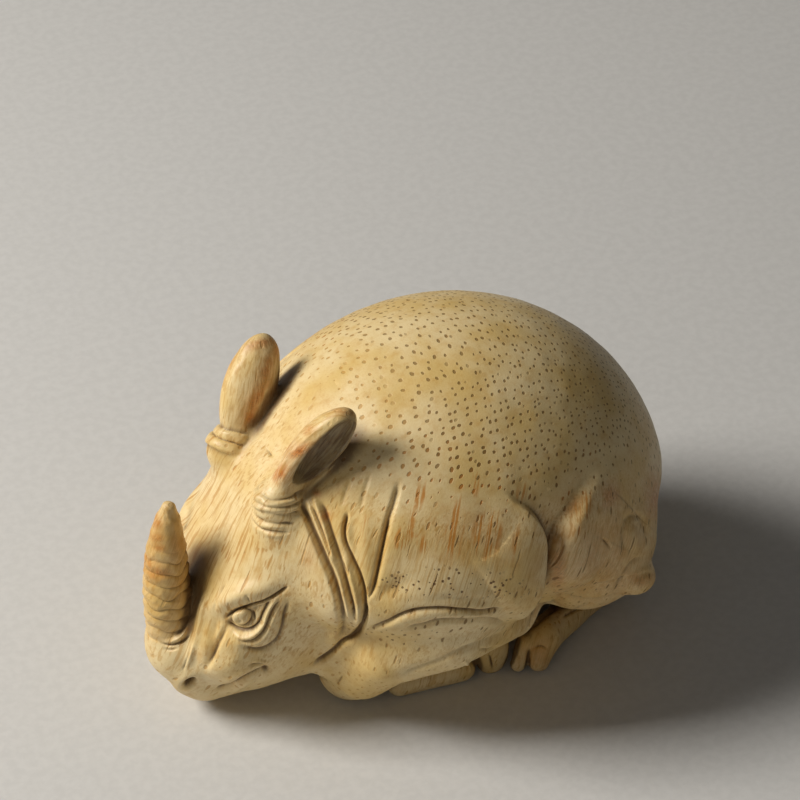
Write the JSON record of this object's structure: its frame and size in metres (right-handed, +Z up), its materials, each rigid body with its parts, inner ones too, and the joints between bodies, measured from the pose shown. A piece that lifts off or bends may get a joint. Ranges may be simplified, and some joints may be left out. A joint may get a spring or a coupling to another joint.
{
  "type": "carved rhinoceros figure",
  "caption": "Small rhinoceros carved in one piece from bamboo root, lying with its head down and legs folded under, as a palm-held ornament that rests on its flat underside",
  "frame": {"origin": "middle of the bounding box's bottom face, on the flat underside", "axes": "+X from the nose to the rump, the longest side; +Z up; the flank that the picture shows faces -Y"},
  "size_m": [0.0623, 0.0442, 0.0438],
  "materials": {
    "bamboo_root": "hand-rubbed satin, with dark vascular dots and streaks"
  },
  "bodies": {
    "root": {"rhino_carving": "bamboo_root"}
  },
  "joints": []
}
